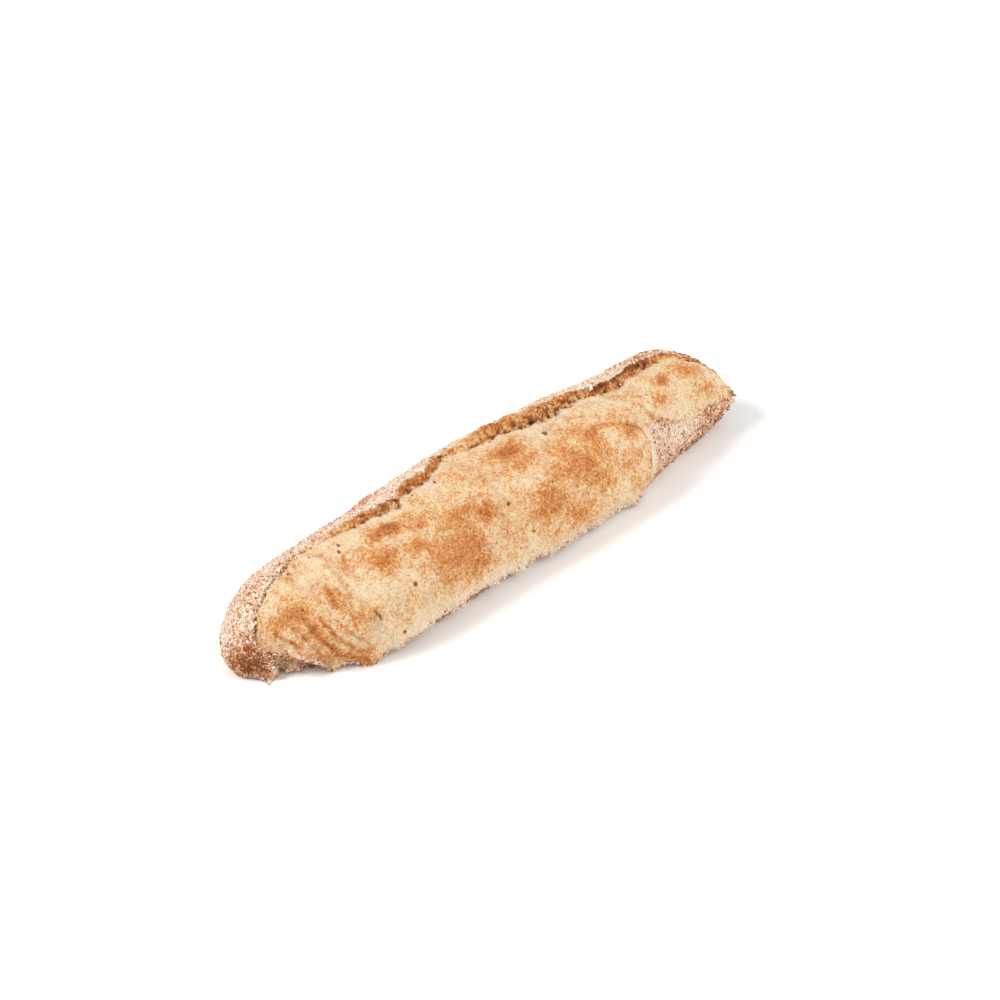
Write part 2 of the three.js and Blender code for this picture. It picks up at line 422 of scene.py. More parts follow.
def ringPlaces(share):
    # travel along the loaf, slower near both ends, over a quarter ellipse at each end
    bluntArc = loafShape["bluntCap"] * loafShape["bluntArcShare"]
    taperArc = loafShape["taperCap"] * loafShape["taperArcShare"]
    straight = loafShape["length"] - loafShape["bluntCap"] - loafShape["taperCap"]
    crowded = share - loafShape["endCrowding"] * np.sin(2 * np.pi * share) / (2 * np.pi)
    travel = crowded * (bluntArc + straight + taperArc)
    bluntAngle = np.clip(travel / bluntArc, 0, 1) * np.pi / 2
    taperAngle = np.clip((travel - bluntArc - straight) / taperArc, 0, 1) * np.pi / 2
    middle = np.clip(travel - bluntArc, 0, straight)
    x = (
        -loafShape["length"] / 2 + loafShape["bluntCap"] * (1 - np.cos(bluntAngle))
        + middle + loafShape["taperCap"] * np.sin(taperAngle)
    )
    return x, np.sin(bluntAngle) * np.cos(taperAngle)


def columnTurns(x):
    # columns follow the ear, closest together on its wall
    stretches = [np.linspace(low, high, count, endpoint=False) for low, high, count in loafShape["columns"]]
    foot = along(ear["turn"], x)[:, None]
    lip = foot + ear["wallTurns"]
    step = np.concatenate(stretches)[None, :]
    front = foot * (1 + np.clip(step, -1, 0))
    back = lip + (1 - lip) * (np.clip(step, 1, 2) - 1)
    wall = foot + ear["wallTurns"] * np.clip(step, 0, 1)
    return np.where(step < 0, front, np.where(step > 1, back, wall))


def gridNormals(points):
    # cross product of the two directions across the grid, columns wrapping round
    alongGrid = np.gradient(points, axis=0)
    roundGrid = np.roll(points, -1, axis=1) - np.roll(points, 1, axis=1)
    normal = np.cross(alongGrid, roundGrid)
    return normal / np.maximum(np.linalg.norm(normal, axis=-1, keepdims=True), 1e-9)


# Baked stretch marks on the main face: [from x, from turn, to x, to turn, sideways bow, width, strength].
stretchMarks = [
    [-179, 0.355, -167, 0.261, 1.5, 0.9, 0.9], [-172, 0.3, -159, 0.2, 3.0, 0.9, 0.5],
    [-167, 0.335, -149, 0.195, 5.0, 1.0, 0.6], [-163, 0.364, -134, 0.165, 7.0, 1.5, 1.0],
    [-159, 0.35, -141, 0.2, 5.5, 0.9, 0.6], [-155, 0.365, -137, 0.215, 5.4, 1.3, 0.8],
    [-150, 0.36, -131, 0.22, 4.0, 1.0, 0.45], [-142, 0.43, -145, 0.331, 1.2, 2.4, 0.7],
    [-139, 0.344, -139, 0.27, 1.0, 1.2, 0.5], [-120, 0.481, -129, 0.441, 0.5, 1.0, 0.5],
    [-133, 0.42, -136, 0.34, 1.5, 1.0, 0.35], [-146, 0.43, -152, 0.36, 1.0, 1.1, 0.4],
    [-147, 0.22, -122, 0.165, 3.0, 1.6, 0.8], [-152, 0.21, -130, 0.16, 3.0, 1.2, 0.6],
    [-106, 0.4, -96, 0.26, 3.0, 1.2, 0.25], [-88, 0.36, -78, 0.22, -3.0, 1.2, 0.25],
    [-70, 0.33, -62, 0.22, 2.0, 1.0, 0.25], [112, 0.43, 128, 0.35, 4.0, 1.4, 0.5],
    [150, 0.45, 146, 0.36, 2.0, 1.0, 0.25], [20, 0.28, 34, 0.21, 2.0, 1.0, 0.25],
]

# Nibs of dough pulled out of the crust: [x, turn, pull x, pull y, pull z, reach, burnt], pale below 0.
nibs = [
    [-184, 0.15, -4.6, -7.5, -0.6, 3.4, -0.9], [-180.5, 0.2, -1.0, -3.0, -1.0, 2.6, -0.9],
    [196, 0.27, 3.8, -3.0, 0.4, 2.6, 0.65], [194, 0.3, 2.2, -2.0, 1.2, 1.8, 0.5],
    [196, 0.24, 1.8, -1.6, -0.8, 1.8, 0.3],
]

# Toasted and scorched places: [x, turn, half length, half girth, strength], in millimetres but for turn.
toastSpots = [
    [-166, 0.37, 13, 13, 0.95], [-158, 0.33, 9, 10, 0.6], [-142, 0.38, 6, 14, 0.65],
    [-129, 0.318, 8, 5, 0.6], [-140, 0.215, 14, 6, 0.45], [-125, 0.45, 6, 5, 0.45],
    [-92, 0.47, 13, 5.5, 1.1], [-105, 0.417, 8, 8, 1.05], [-86, 0.4, 6, 6, 0.7],
    [-52, 0.345, 26, 20, 0.75], [-50, 0.4, 20, 9, 0.75], [-46, 0.275, 13, 9, 0.5],
    [-34, 0.37, 9, 8, 1.1], [11, 0.474, 12, 5.5, 1.15], [42, 0.369, 26, 12, 0.8],
    [92, 0.375, 9, 9, 0.8], [71, 0.415, 22, 5, 0.7], [8, 0.324, 22, 13, 0.6],
    [32, 0.264, 16, 10, 0.55], [53, 0.307, 12, 9, 0.5], [143, 0.436, 8, 5, 1.0],
    [134, 0.391, 8, 8, 0.85], [80, 0.3, 18, 12, 0.5], [-193, 0.27, 11, 26, 1.15],
    [-150, 0.7, 22, 12, 0.9], [-96, 0.62, 26, 9, 0.8], [-60, 0.76, 34, 12, 0.9],
    [-8, 0.66, 20, 11, 0.9], [40, 0.74, 30, 14, 1.0], [84, 0.62, 22, 8, 0.8],
    [120, 0.72, 26, 14, 0.9], [176, 0.66, 12, 16, 1.0], [170, 0.42, 12, 7, 0.6],
    [178, 0.34, 10, 10, 0.45], [22, 0.43, 36, 5, 0.5], [-70, 0.44, 12, 6, 0.4],
]
scorchSpots = [
    [-71, 0.512, 4, 2.2, 1.1], [-57, 0.53, 3, 1.4, 0.9], [-29, 0.541, 2.4, 1.3, 0.9],
    [-20, 0.556, 4, 1.8, 0.9], [12, 0.53, 3.6, 1.2, 0.9], [22, 0.53, 5, 1.4, 0.8],
    [33, 0.522, 2.6, 1.5, 1.0], [45, 0.515, 3, 1.4, 0.9], [58, 0.512, 2, 1.8, 1.1],
    [66, 0.517, 2.5, 1.6, 1.0], [76, 0.513, 2.4, 1.4, 1.0], [103, 0.509, 9, 1.8, 0.9],
    [146, 0.514, 9, 2.4, 1.0], [179, 0.468, 7, 1.6, 1.0],
]

# Pits: [x, turn, radius].
pits = [
    [-98, 0.324, 1.7], [-112, 0.225, 1.5], [-14, 0.365, 1.4], [42, 0.473, 1.9], [-119, 0.497, 1.0],
    [-122, 0.485, 0.9], [-161, 0.38, 0.9], [-152, 0.505, 1.2], [-152, 0.53, 1.1], [-136, 0.51, 0.8],
    [-60, 0.6, 1.4], [30, 0.68, 1.6], [110, 0.63, 1.3], [-20, 0.72, 1.2], [-130, 0.66, 1.5],
]


def spotCover(x, turn, spots):
    # largest of the elliptical bells around the listed places
    cover = np.zeros(x.shape)
    for spotX, spotTurn, halfLength, halfGirth, strength in spots:
        reach = ((x - spotX) / halfLength) ** 2 + ((turn - spotTurn) * loafShape["girth"] / halfGirth) ** 2
        cover = np.maximum(cover, strength * np.exp(-reach))
    return cover


lineSteps = 25  # places tried along each line


def lineCover(x, arc, marks):
    # nearness, 0 to 1, to each bowed line between two places, drawn out to nothing at its ends
    cover = np.zeros(x.shape)
    share = np.linspace(0, 1, lineSteps)
    for fromX, fromTurn, toX, toTurn, bow, width, strength in marks:
        fromArc, toArc = fromTurn * loafShape["girth"], toTurn * loafShape["girth"]
        run = np.hypot(toX - fromX, toArc - fromArc)
        bend = bow * np.sin(np.pi * share)
        lineX = fromX + (toX - fromX) * share + bend * (toArc - fromArc) / run
        lineArc = fromArc + (toArc - fromArc) * share - bend * (toX - fromX) / run
        close = (np.abs(x - (fromX + toX) / 2) < run) & (np.abs(arc - (fromArc + toArc) / 2) < run)
        reach = np.hypot(x[close][:, None] - lineX, arc[close][:, None] - lineArc)
        nearest = reach.argmin(axis=1)
        faded = np.sin(np.pi * share[nearest]) ** 0.5
        cover[close] = np.maximum(cover[close], strength * faded * bell(reach.min(axis=1), width))
    return cover


# Heights and depths of the fine relief, in millimetres, and the widths that go with them.
detail = {
    "markDepth": 1.1, "markRidge": 0.8, "markLeast": 0.6, "ridgeSpread": 2.2, "ridgeExtra": 0.8,
    "foldLean": 0.35, "foldStretch": (1.0, 0.3, 0.3), "foldDrift": 0.004, "dentStretch": (1.0, 0.6, 0.6),
    "blister": 0.5, "blisterCell": 9.0, "blisterReach": 0.42, "blisterSeed": 37,
    "teeth": 0.8, "lipPlace": 1.0, "lipWidth": 2.0, "flapWidth": 5.0, "undercutLost": 0.6,
    "secondLip": 1.3, "secondLipPlace": 3.0, "secondLipWidth": 4.0,
    "backFold": 1.1, "backFoldStretch": (0.4, 1.0, 1.0),
    "pitDepth": 1.5, "pitFloor": 0.2, "pitShade": 0.8, "pitShadeFrom": 0.3, "pitShadeTo": 1.2,
    "crack": [-127, 0.322, -124, 0.282, 1.5, 0.8, 1.0], "crackDepth": 0.8,
    "crackSway": 0.5, "crackTurns": 0.9, "floorHold": 0.85, "settleBelow": 0.4, "settleShare": 0.5,
}


def layPlainSkin():
    # a grid of rings by columns, with the ear and the bursts raised on the rounded section
    at = SimpleNamespace()
    ringX, ringScale = ringPlaces(np.arange(1, loafShape["rings"]) / loafShape["rings"])
    at.turn = columnTurns(ringX)
    at.x = np.repeat(ringX[:, None], at.turn.shape[1], axis=1)
    at.arc = at.turn * loafShape["girth"]
    at.scale = np.repeat(ringScale[:, None], at.turn.shape[1], axis=1)
    at.settle = np.minimum(1.0, at.scale * loafShape["settle"])
    at.lengthwise = np.stack([at.x, at.x * 0, at.x * 0], axis=-1)
    at.wander = noise("earWander", at.lengthwise) / loafShape["girth"]
    lipHeight = 1 + noise("lipHeight", at.lengthwise)
    relief = (earRelief(at.x, at.turn, at.wander) * lipHeight + burstRelief(at.x, at.turn)) * at.settle
    at.points = skinPoints(at.x, at.scale, at.turn, relief)
    at.normal = gridNormals(at.points)
    return at


def measureEdges(at):
    # distances in millimetres past each edge: blunt edge, far rim, ear, lower lip and second face
    at.ragged = noise("ragged", at.points)
    at.earShare = along(ear["strength"], at.x)
    at.insideBlunt = at.x - along(burst["bluntEdge"], at.turn)
    at.pastRim = at.x - along(burst["farRim"], at.turn)
    at.pastEar = (at.turn - along(ear["turn"], at.x) - at.wander) * loafShape["girth"]
    at.lowEdge = (at.turn - along(burst["lowerEdge"], at.x)) * loafShape["girth"] + at.ragged
    at.secondBelow = (at.turn - along(burst["secondEdge"], at.x)) * loafShape["girth"] + at.ragged


# How soft and how ragged the edges of the zones are, in millimetres.
zoneEdges = {
    "bluntLeast": 0.8, "bluntMost": 9, "bluntRagged": 4, "rimRagged": 0.004,
    "overLip": 4.6, "wallTop": 1.6, "wallEnd": 2.8, "wallSpread": 1.3,
}


def markZones(at):
    # shares, 0 to 1, of burst face, torn wall and bran at each point
    soft = gate("bluntSoft", at.turn)
    bluntSoft = zoneEdges["bluntLeast"] + zoneEdges["bluntMost"] * soft
    insideSoft = at.insideBlunt + zoneEdges["bluntRagged"] * at.ragged * soft
    rimHere = 1 - gate("rimTop", at.turn + at.ragged * zoneEdges["rimRagged"])
    beforeEar = 1 - gate("earEdge", at.pastEar)
    main = gate("front", at.turn) * (1 - (1 - beforeEar) * gate("earStart", at.x))
    main = main * ramp(insideSoft, -bluntSoft, bluntSoft) * gate("lowEdge", at.lowEdge)
    main = main * (1 - gate("rimEnd", at.pastRim + at.ragged) * rimHere) * (1 - gate("faceTop", at.turn))
    secondSoft = at.secondBelow + noise("secondEdge", at.points)
    second = gate("secondFace", at.x) * gate("secondEdge", secondSoft) * beforeEar
    at.face = np.maximum(main, second)
    tornEdge = at.pastEar + noise("tornEdge", at.points)
    at.overLip = zoneEdges["overLip"] * gate("overLip", at.x) * (1 + noise("overLip", at.lengthwise))
    wallStart = zoneEdges["wallTop"] + at.overLip
    wallEnd = zoneEdges["wallEnd"] + zoneEdges["wallSpread"] * at.overLip
    at.wall = gate("tornWall", tornEdge) * (1 - ramp(tornEdge, wallStart, wallEnd))
    at.wall = at.wall * gate("earShows", at.earShare)
    at.bran = (1 - at.face) * (1 - at.wall)


def raiseMarks(at):
    # stretch marks with a ridge beside each, folds where a slanted noise crosses zero, dents and blisters
    bentX = at.x + noise("markBends", at.points)
    broken = at.face * atLeast(detail["markLeast"], gate("markBreaks", noise("markBreaks", at.points)))
    at.marks = lineCover(bentX, at.arc, stretchMarks) * broken
    wider = [
        mark[:5] + [detail["ridgeSpread"] * mark[5] + detail["ridgeExtra"], mark[6]] for mark in stretchMarks]
    at.ridges = lineCover(bentX, at.arc, wider) * broken - at.marks
    height = at.points[..., 2]
    slanted = at.points + np.stack([detail["foldLean"] * height, height * 0, height * 0], axis=-1)
    folds = 1 - np.abs(noise("folds", slanted * np.array(detail["foldStretch"])))
    foldPlaces = noise("foldPlaces", at.points) - detail["foldDrift"] * at.x
    at.folds = gate("folds", folds) * at.face * gate("foldPlaces", foldPlaces)
    dents = noise("dents", at.points * np.array(detail["dentStretch"])) * at.face * (1 - gate("dents", at.x))
    reach, size = nearestSeed(at.points, detail["blisterCell"], detail["blisterSeed"])
    bulge = np.maximum(detail["blisterReach"] - reach, 0) / detail["blisterReach"]
    blisters = detail["blister"] * bulge * gate("blisters", size) * at.face
    return detail["markRidge"] * at.ridges - detail["markDepth"] * at.marks - at.folds + dents + blisters


def raiseLips(at):
    # ragged lip with its flaps along the lower edge, an undercut below it, and the second face's lip
    teeth = detail["teeth"] + noise("lipTeeth", at.points)
    lip = burst["lipSwell"] * teeth * bell(at.lowEdge - detail["lipPlace"], detail["lipWidth"])
    lip = lip * gate("wholeLip", at.x)
    for flapX, flapTurn, halfLength, height in burst["flaps"]:
        across = bell((at.turn - flapTurn) * loafShape["girth"], detail["flapWidth"])
        lip = lip + height * bell(at.x - flapX + at.ragged, halfLength) * across * gate("flapTop", at.lowEdge)
    under = burst["undercut"] * gate("undercutTop", -at.lowEdge) * gate("undercut", at.x)
    under = under * (1 - detail["undercutLost"] * gate("undercutEased", at.x))
    secondLip = bell(at.secondBelow - detail["secondLipPlace"], detail["secondLipWidth"])
    return lip - under + detail["secondLip"] * secondLip * gate("secondLip", at.x)


def raiseBack(at):
    # broad waves behind the ear, cut by long folds
    behind = gate("back", at.turn)
    folds = 1 - np.abs(noise("backFolds", at.points * np.array(detail["backFoldStretch"])))
    places = gate("backFoldPlaces", noise("backFoldPlaces", at.points))
    at.backFolds = gate("backFolds", folds) * behind * places
    return behind * noise("backWaves", at.points) - detail["backFold"] * at.backFolds


def sinkPits(at):
    # round pits with uneven edges and painted shade in each, and one bowed crack
    uneven = 1 + noise("pitEdges", at.points)
    at.pitCover = np.zeros(at.x.shape)
    sunk = np.zeros(at.x.shape)
    for pitX, pitTurn, radius in pits:
        reach = np.hypot(at.x - pitX, (at.turn - pitTurn) * loafShape["girth"]) * uneven
        # painted shade in the pit, darkest at its middle
        shade = 1 - ramp(reach, radius * detail["pitShadeFrom"], radius * detail["pitShadeTo"])
        at.pitCover = np.maximum(at.pitCover, detail["pitShade"] * shade)
        sunk = sunk + detail["pitDepth"] * (1 - ramp(reach, radius * detail["pitFloor"], radius))
    swayed = at.x + detail["crackSway"] * np.sin(at.arc * detail["crackTurns"])
    at.crack = lineCover(swayed, at.arc, [detail["crack"]])
    return sunk + detail["crackDepth"] * at.crack


def moveSkin(at):
    # fine relief along the normals, held back on the floor; then the notch, the nibs and a pressed sole
    rise = noise("lumps", at.points) + noise("faceGrain", at.points) * at.face
    rise = rise + noise("branGrain", at.points) * at.bran + noise("tornWall", at.points) * at.wall
    rise = rise + raiseMarks(at) + raiseLips(at) + raiseBack(at) - sinkPits(at)
    held = 1 - detail["floorHold"] * (1 - gate("onFloor", at.points[..., 2]))
    points = at.points + at.normal * (rise * at.settle * held)[..., None]
    for key in ("notch", "hollow"):
        placeX, placeTurn, halfLength, halfGirth, depth = burst[key]
        cover = bell(at.x - placeX, halfLength) * bell((at.turn - placeTurn) * loafShape["girth"], halfGirth)
        points[..., 1] += depth * cover * gate("notch", at.turn)
    at.nibBurnt, at.nibPale = np.zeros(at.x.shape), np.zeros(at.x.shape)
    for rootX, rootTurn, pullX, pullY, pullZ, reach, burnt in nibs:
        nearest = np.argmin((at.x - rootX) ** 2 + ((at.turn - rootTurn) * loafShape["girth"]) ** 2)
        away = np.linalg.norm(points - points.reshape(-1, 3)[nearest], axis=-1)
        near = np.exp(-away / reach) * (1 - ramp(away, 2 * reach, 4 * reach))
        points = points + near[..., None] * np.array([pullX, pullY, pullZ])
        at.nibBurnt = np.maximum(at.nibBurnt, burnt * gate("nibBurnt", near))
        at.nibPale = np.maximum(at.nibPale, -burnt * gate("nibPale", near))
    height = points[..., 2]
    pressed = np.maximum(height * detail["settleShare"], 0.0)
    points[..., 2] = np.where(height < detail["settleBelow"], pressed, height)
    at.points = points


# Strength of each cover of paint, with its place and width in millimetres where it follows an edge.
paint = {
    "crease": 0.75, "creaseWidth": 0.8, "creaseRagged": 0.5, "creaseLeast": 0.25, "creaseLowLeast": 0.4,
    "nib": 0.9, "crack": 0.6, "holesLeast": 0.45, "rimShadeLeast": 0.3, "spotLeast": 0.15, "toastLeast": 0.25,
    "foot": (-0.1, 0.8), "footLeast": 0.1, "footBroken": 0.8, "footMiddle": 0.7,
    "holes": 0.8, "lipShade": 0.85, "lipShadeLine": (2.2, 0.8), "rimShade": 0.22, "rimShadeLine": (-0.6, 0.7),
    "markToast": 0.9, "rimToast": 0.5, "rimToastLine": (-1.6, 1.3),
    "secondToast": 0.6, "secondLine": (0.5, 1.5),
    "backToast": 0.8, "lowToast": 0.6, "soleToast": 0.55, "soleStretch": (0.6, 1.0, 1.0),
    "rimFlour": 4, "rimFlourExtra": 6.5, "rimFlourFade": 3, "rimFlourRagged": 0.6,
    "lipFlour": 0.8, "lipFlourLine": (3.5, 4.0), "underLip": 0.9, "earFlour": 0.8, "earFlourLine": (4.6, 1.8),
    "soleFlourLost": 0.8, "footFlour": 0.6, "footFlourLine": (-3.2, 1.8),
    "paleBlunt": 0.35, "paleBack": 0.8, "paleBackWaves": 12, "paleLow": 0.55, "paleLowLine": (4.0, 12.0),
    "farPatch": 0.6, "ridgePaleAndHighlight": 0.8, "crumbLine": (-1.0, 2.4), "footClearLine": (0.4, 2.2),
    "liftLost": 0.7, "lift": 0.75, "liftMiddle": 0.35, "liftFar": 0.78,
    "soleBranLost": 0.9, "soleThin": 0.85, "thinBran": 0.7, "foldMarks": 1.9,
}


def line(name, distance):
    # bell round the named place, as wide as the second number says
    place, width = paint[name]
    return bell(distance - place, width)


def scorchAndShadeCover(at):
    # darkest of crease, nibs, broken foot of the ear, crack and scorched spots, and the painted shade in the
    # pits, in the holes, along the rim and partly along the lip's edge
    width = paint["creaseWidth"] + noise("creaseWidth", at.points)
    crease = bell(at.insideBlunt + paint["creaseRagged"] * at.ragged, width) * gate("creaseTurns", at.turn)
    crease = crease * atLeast(paint["creaseLeast"], gate("creaseBreaks", noise("creaseBreaks", at.points)))
    crease = crease * atLeast(paint["creaseLowLeast"], gate("creaseDark", at.turn))
    speckles = gate("speckles", noise("speckles", at.points))
    broken = paint["footBroken"] * gate("footBreaks", noise("footBreaks", at.lengthwise))
    foot = paint["footLeast"] + broken + paint["footMiddle"] * gate("midFoot", at.x)
    foot = foot * line("foot", at.pastEar) * at.earShare * speckles
    # painted shade: near-black holes on the torn wall
    holes = paint["holes"] * at.wall * gate("holePlaces", noise("holes", at.points))
    holes = holes * atLeast(paint["holesLeast"], gate("holes", at.x))
    # dark line on the lip's edge: partly scorched crust, partly painted shade under the lip
    lipShade = paint["lipShade"] * line("lipShadeLine", at.pastEar) * at.earShare * gate("lipShade", at.x)
    lipShade = lipShade * gate("lipShadePlaces", noise("lipShade", at.points))
    # painted shade: a thin dark line at the rim's undercut
    rimShade = paint["rimShade"] * line("rimShadeLine", at.pastRim) * gate("rimLine", at.turn)
    rimShade = rimShade * atLeast(paint["rimShadeLeast"], gate("rimBreaks", noise("rimBreaks", at.points)))
    spots = spotCover(at.x, at.turn - at.wander, scorchSpots) * atLeast(paint["spotLeast"], speckles)
    return np.maximum.reduce([
        paint["crease"] * crease, paint["nib"] * at.nibBurnt, foot, at.pitCover, paint["crack"] * at.crack,
        spots, holes, rimShade, lipShade,
    ])


def toastCover(at):
    # toasted spots and marks, a line inside the rims, and patches over the back and the sole
    clear = np.where(at.insideBlunt > 0, gate("fromCrease", at.insideBlunt), 1)
    toast = spotCover(at.x, at.turn, toastSpots) * atLeast(paint["toastLeast"], clear)
    toast = toast + paint["markToast"] * at.marks
    toast = toast + paint["rimToast"] * line("rimToastLine", at.pastRim) * gate("rimToast", at.turn)
    toast = toast + paint["secondToast"] * line("secondLine", at.secondBelow) * gate("secondRim", at.x)
    low = 1 - gate("lowSide", at.points[..., 2])
    backToast = gate("backToastPlaces", at.mottled + paint["lowToast"] * low)
    backToast = paint["backToast"] * gate("backToast", at.turn) * backToast
    soleToast = paint["soleToast"] + noise("soleToast", at.points * np.array(paint["soleStretch"]))
    return np.maximum.reduce([toast, backToast, at.underside * soleToast]) * (1 - at.nibPale)


def flourCover(at):
    # a floury band past the rim, then flour on and under the lower lip and on both sides of the ear
    band = paint["rimFlour"] + paint["rimFlourExtra"] * (1 - gate("rimFlourWide", at.turn))
    bandEnd = at.pastRim + paint["rimFlourRagged"] * at.ragged
    rim = gate("pastRim", at.pastRim) * (1 - ramp(bandEnd, band, band + paint["rimFlourFade"]))
    lip = paint["lipFlour"] * line("lipFlourLine", at.lowEdge) * gate("lipFlour", at.x)
    underEnd = 1 - gate("underLipEnd", noise("underLipEnd", at.points) - at.lowEdge)
    under = paint["underLip"] * gate("underLipTop", -at.lowEdge) * underEnd * gate("underLip", at.x)
    behindEar = paint["earFlour"] * line("earFlourLine", at.pastEar - at.overLip) * at.earShare
    flour = np.maximum.reduce([rim * gate("rimFlour", at.turn), lip, under, behindEar])
    flour = flour * (1 - paint["soleFlourLost"] * at.underside)
    return np.maximum(flour, paint["footFlour"] * line("footFlourLine", at.pastEar) * at.earShare)


def paleCover(at):
    # the least baked places: behind the lip, blunt end, high back, low face and far patch; and the mark
    # ridges, partly floury pale and partly painted highlight
    blunt = (1 - gate("bluntPale", at.insideBlunt)) * (1 - gate("paleBlunt", at.x))
    blunt = blunt * gate("paleBluntTurns", at.turn)
    highBack = gate("paleBack", at.points[..., 2] + paint["paleBackWaves"] * at.mottled)
    farPatch = gate("farPatch", at.x) * gate("farPatchTurns", at.turn) * at.bran
    return np.maximum.reduce([
        gate("behindLip", at.pastEar) * (1 - gate("paleStrip", at.x)),
        paint["paleBlunt"] * blunt,
        paint["paleBack"] * gate("paleBackTurns", at.turn) * highBack,
        paint["paleLow"] * at.face * line("paleLowLine", at.lowEdge) * gate("paleLow", at.x),
        paint["farPatch"] * farPatch,
        # mark ridges: partly floury pale, partly painted highlight on the raised ridge
        paint["ridgePaleAndHighlight"] * np.clip(at.ridges, 0, 1),
    ])


def paintMasks(at):
    # shares that the finishes and the bran read: lift grows up the torn wall, thin is where bran is missing
    at.mottled = noise("backToast", at.points)
    sole = at.turn + noise("soleEdge", at.points)
    at.underside = (1 - gate("underside", at.points[..., 2])) * (1 - gate("sole", sole))
    lift = gate("liftFront", at.pastEar) * (1 - paint["liftLost"] * gate("liftBack", at.pastEar))
    lift = lift * (
        paint["lift"] - paint["liftMiddle"] * gate("liftMiddle", at.x)
        + paint["liftFar"] * gate("liftFar", at.x)
    )
    footClear = line("footClearLine", at.pastEar) * gate("footShows", at.earShare)
    thinBran = paint["thinBran"] * gate("thinBran", noise("thinBran", at.points) + at.backFolds)
    return {
        "toast": toastCover(at),
        "bran": at.bran * (1 - paint["soleBranLost"] * at.underside),
        # scorch, and painted shade in the pits, holes, rim line and lip edge
        "scorchAndShade": scorchAndShadeCover(at),
        "flour": flourCover(at),
        "torn": at.wall,
        "pale": paleCover(at),
        "lift": lift,
        # painted shade in the folds, and the stretch marks' own brown
        "foldShadeAndMarks": np.maximum(at.folds, paint["foldMarks"] * at.marks),
        "lip": line("crumbLine", at.lowEdge) * gate("lipCrumbs", at.x),
        "thin": np.maximum.reduce([paint["soleThin"] * at.underside, at.nibPale, footClear, thinBran]),
    }


def buildSkin():
    # the finished grid of points, its two poles, its paint masks and its turns
    at = layPlainSkin()
    measureEdges(at)
    markZones(at)
    moveSkin(at)
    ends = np.array([-1.0, 1.0]) * loafShape["length"] / 2
    poles = skinPoints(ends, np.zeros(2), np.full(2, 0.5), np.zeros(2))
    return at.points, poles, paintMasks(at), at.turn


def gridFaces(rings, columns):
    # quads between neighbouring rings, and a fan of triangles to each pole
    here = np.arange(rings * columns).reshape(rings, columns)
    there = np.roll(here, -1, axis=1)
    quads = np.stack([here[:-1], here[1:], there[1:], there[:-1]], axis=-1).reshape(-1, 4)
    first = np.stack([np.full(columns, rings * columns), here[0], there[0]], axis=-1)
    last = np.stack([here[-1], np.full(columns, rings * columns + 1), there[-1]], axis=-1)
    return quads.tolist() + first.tolist() + last.tolist()


def putMesh(name, corners, faces, masks, smooth):
    # a mesh object in metres at the origin, its masks stored on its corners
    mesh = bpy.data.meshes.new(name)
    mesh.from_pydata((corners * mm).tolist(), [], faces)
    mesh.polygons.foreach_set("use_smooth", np.full(len(mesh.polygons), smooth))
    for key, value in masks.items():
        layer = mesh.attributes.new(key, "FLOAT", "POINT")
        layer.data.foreach_set("value", np.ascontiguousarray(value, dtype=np.float32).ravel())
    mesh.update()
    piece = bpy.data.objects.new(name, mesh)
    bpy.context.collection.objects.link(piece)
    return piece


skin, poles, skinMasks, skinTurn = buildSkin()
skinLow, skinHigh = skin.min(axis=(0, 1)), skin.max(axis=(0, 1))
shift = np.array([
    (cadLow.x + cadHigh.x) / 2 / mm - (skinLow[0] + skinHigh[0]) / 2,
    (cadLow.y + cadHigh.y) / 2 / mm - (skinLow[1] + skinHigh[1]) / 2,
    cadLow.z / mm - skinLow[2],
])
skin, poles = skin + shift, poles + shift
print("skin moved by", shift, "millimetres onto the middle of the solid")

crustMasks = {
    key: np.concatenate([value.ravel(), [value[0].mean(), value[-1].mean()]])
    for key, value in skinMasks.items()
}
crustCorners = np.concatenate([skin.reshape(-1, 3), poles])
loafCrust = putMesh("loafCrust", crustCorners, gridFaces(*skinTurn.shape), crustMasks, True)
print("crust made,", len(loafCrust.data.polygons), "faces")


# Bran flakes in three equal lots, lengths in millimetres.
branLook = {
    "count": 16500,
    "length": (0.65, 2.3),
    "mostlySmall": 2.2,
    "radiusShare": 0.62,
    "smallerPale": 0.35,
    "smallerLip": 0.3,
    "thickness": 0.3,
    "thicknessSpread": (0.7, 1.4),
    "stretch": (1.0, 1.7),
    "tilt": 0.6,
    "tone": (0.57, 0.25),
    "toneToast": -0.3,
    "tonePale": 0.2,
    "toneLip": 0.32,
    "toneLow": -0.12,
    "darkShare": 0.16,
    "darkTone": 0.3,
    "aboveFloor": 0.02,
}

# Shape of one flake, in shares of its radius and thickness.
flakeShape = {
    "sides": 6, "jitter": 0.35, "reach": (0.65, 1.15), "curl": (-0.25, 0.45), "curlShare": 0.6,
    "top": 1.1, "bottom": 1.4,
}

# How much of the bran goes where.
branCover = {
    "flourLost": 0.95, "paleLost": 0.45, "clumpLeast": 0.3, "lip": 0.9, "lipLeast": 0.4, "stray": 0.0003,
}


def unit(vectors):
    # each row at length one
    return vectors / np.linalg.norm(vectors, axis=1, keepdims=True)


def repeated(pattern, count, corners):
    # the faces of one small shape, repeated for every shape of that many corners
    return (np.arange(count)[:, None, None] * corners + pattern[None]).reshape(-1, 3).tolist()


